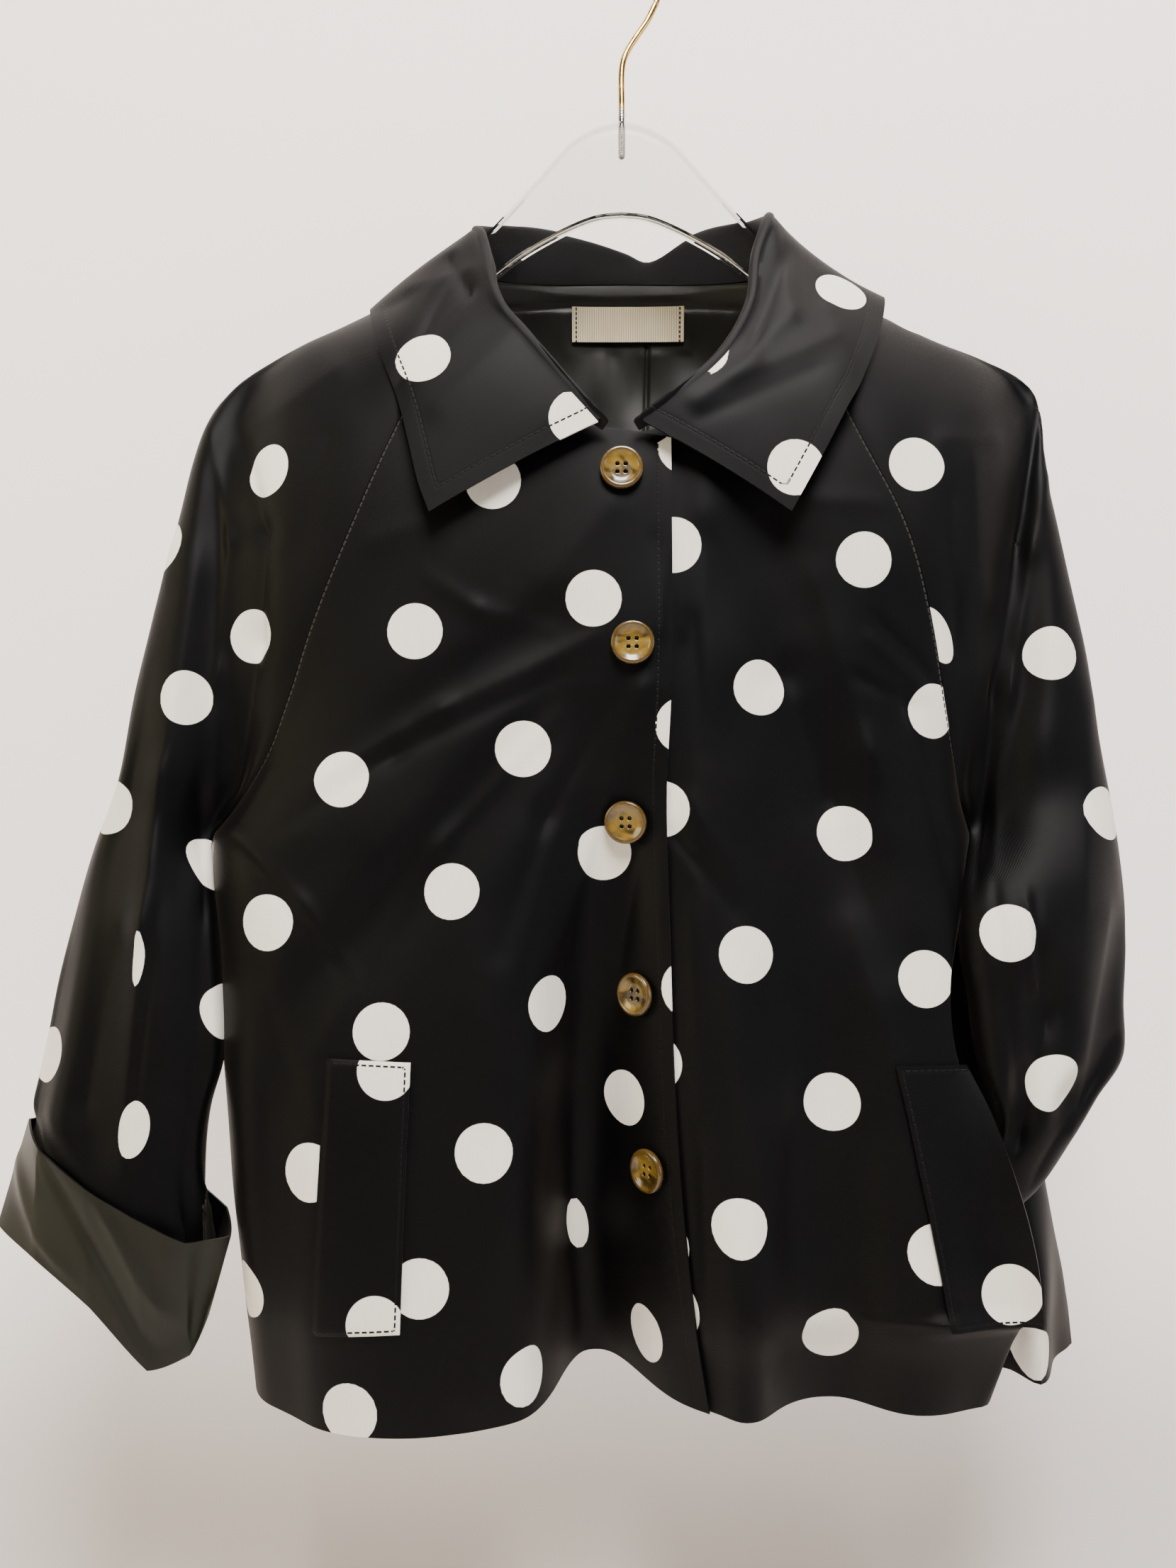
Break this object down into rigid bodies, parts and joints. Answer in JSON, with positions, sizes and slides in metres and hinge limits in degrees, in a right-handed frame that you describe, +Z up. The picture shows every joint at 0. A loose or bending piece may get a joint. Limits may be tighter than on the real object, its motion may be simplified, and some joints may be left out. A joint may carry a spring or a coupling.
{
  "type": "windbreaker on hanger",
  "caption": "Short A-line windbreaker with raglan sleeves, turned-down collar, welt pockets and a turned-up cuff, buttoned and hung on a clear plate hanger with a wire hook.",
  "frame": {"origin": "inside top of the hook's loop, where the rail carries it, in the plane of the hanger", "axes": "+Z up; -Y is the way the front faces; +X towards the wearer's left sleeve"},
  "size_m": [0.5916, 0.1574, 0.8008],
  "materials": {
    "shell": "black coated satin weave printed with cream dots, soft sheen",
    "lining": "dark grey-olive satin lining",
    "label": "ribbed cream ribbon, bare",
    "button": "mottled horn-coloured resin, polished",
    "clear_plate": "clear cast acrylic with polished edges",
    "hook": "gold-coloured polished wire"
  },
  "bodies": {
    "root": {"front_right": "shell", "front_left": "shell", "back": "shell", "sleeve_right": "shell", "sleeve_left": "shell", "collar": "shell", "pocket_welt_right": "shell", "pocket_welt_left": "shell", "cuff_right": "lining", "back_lining": "lining", "neck_label": "label", "button_1": "button", "button_2": "button", "button_3": "button", "button_4": "button", "button_5": "button", "hanger_plate": "clear_plate", "hanger_hook": "hook"}
  },
  "joints": []
}
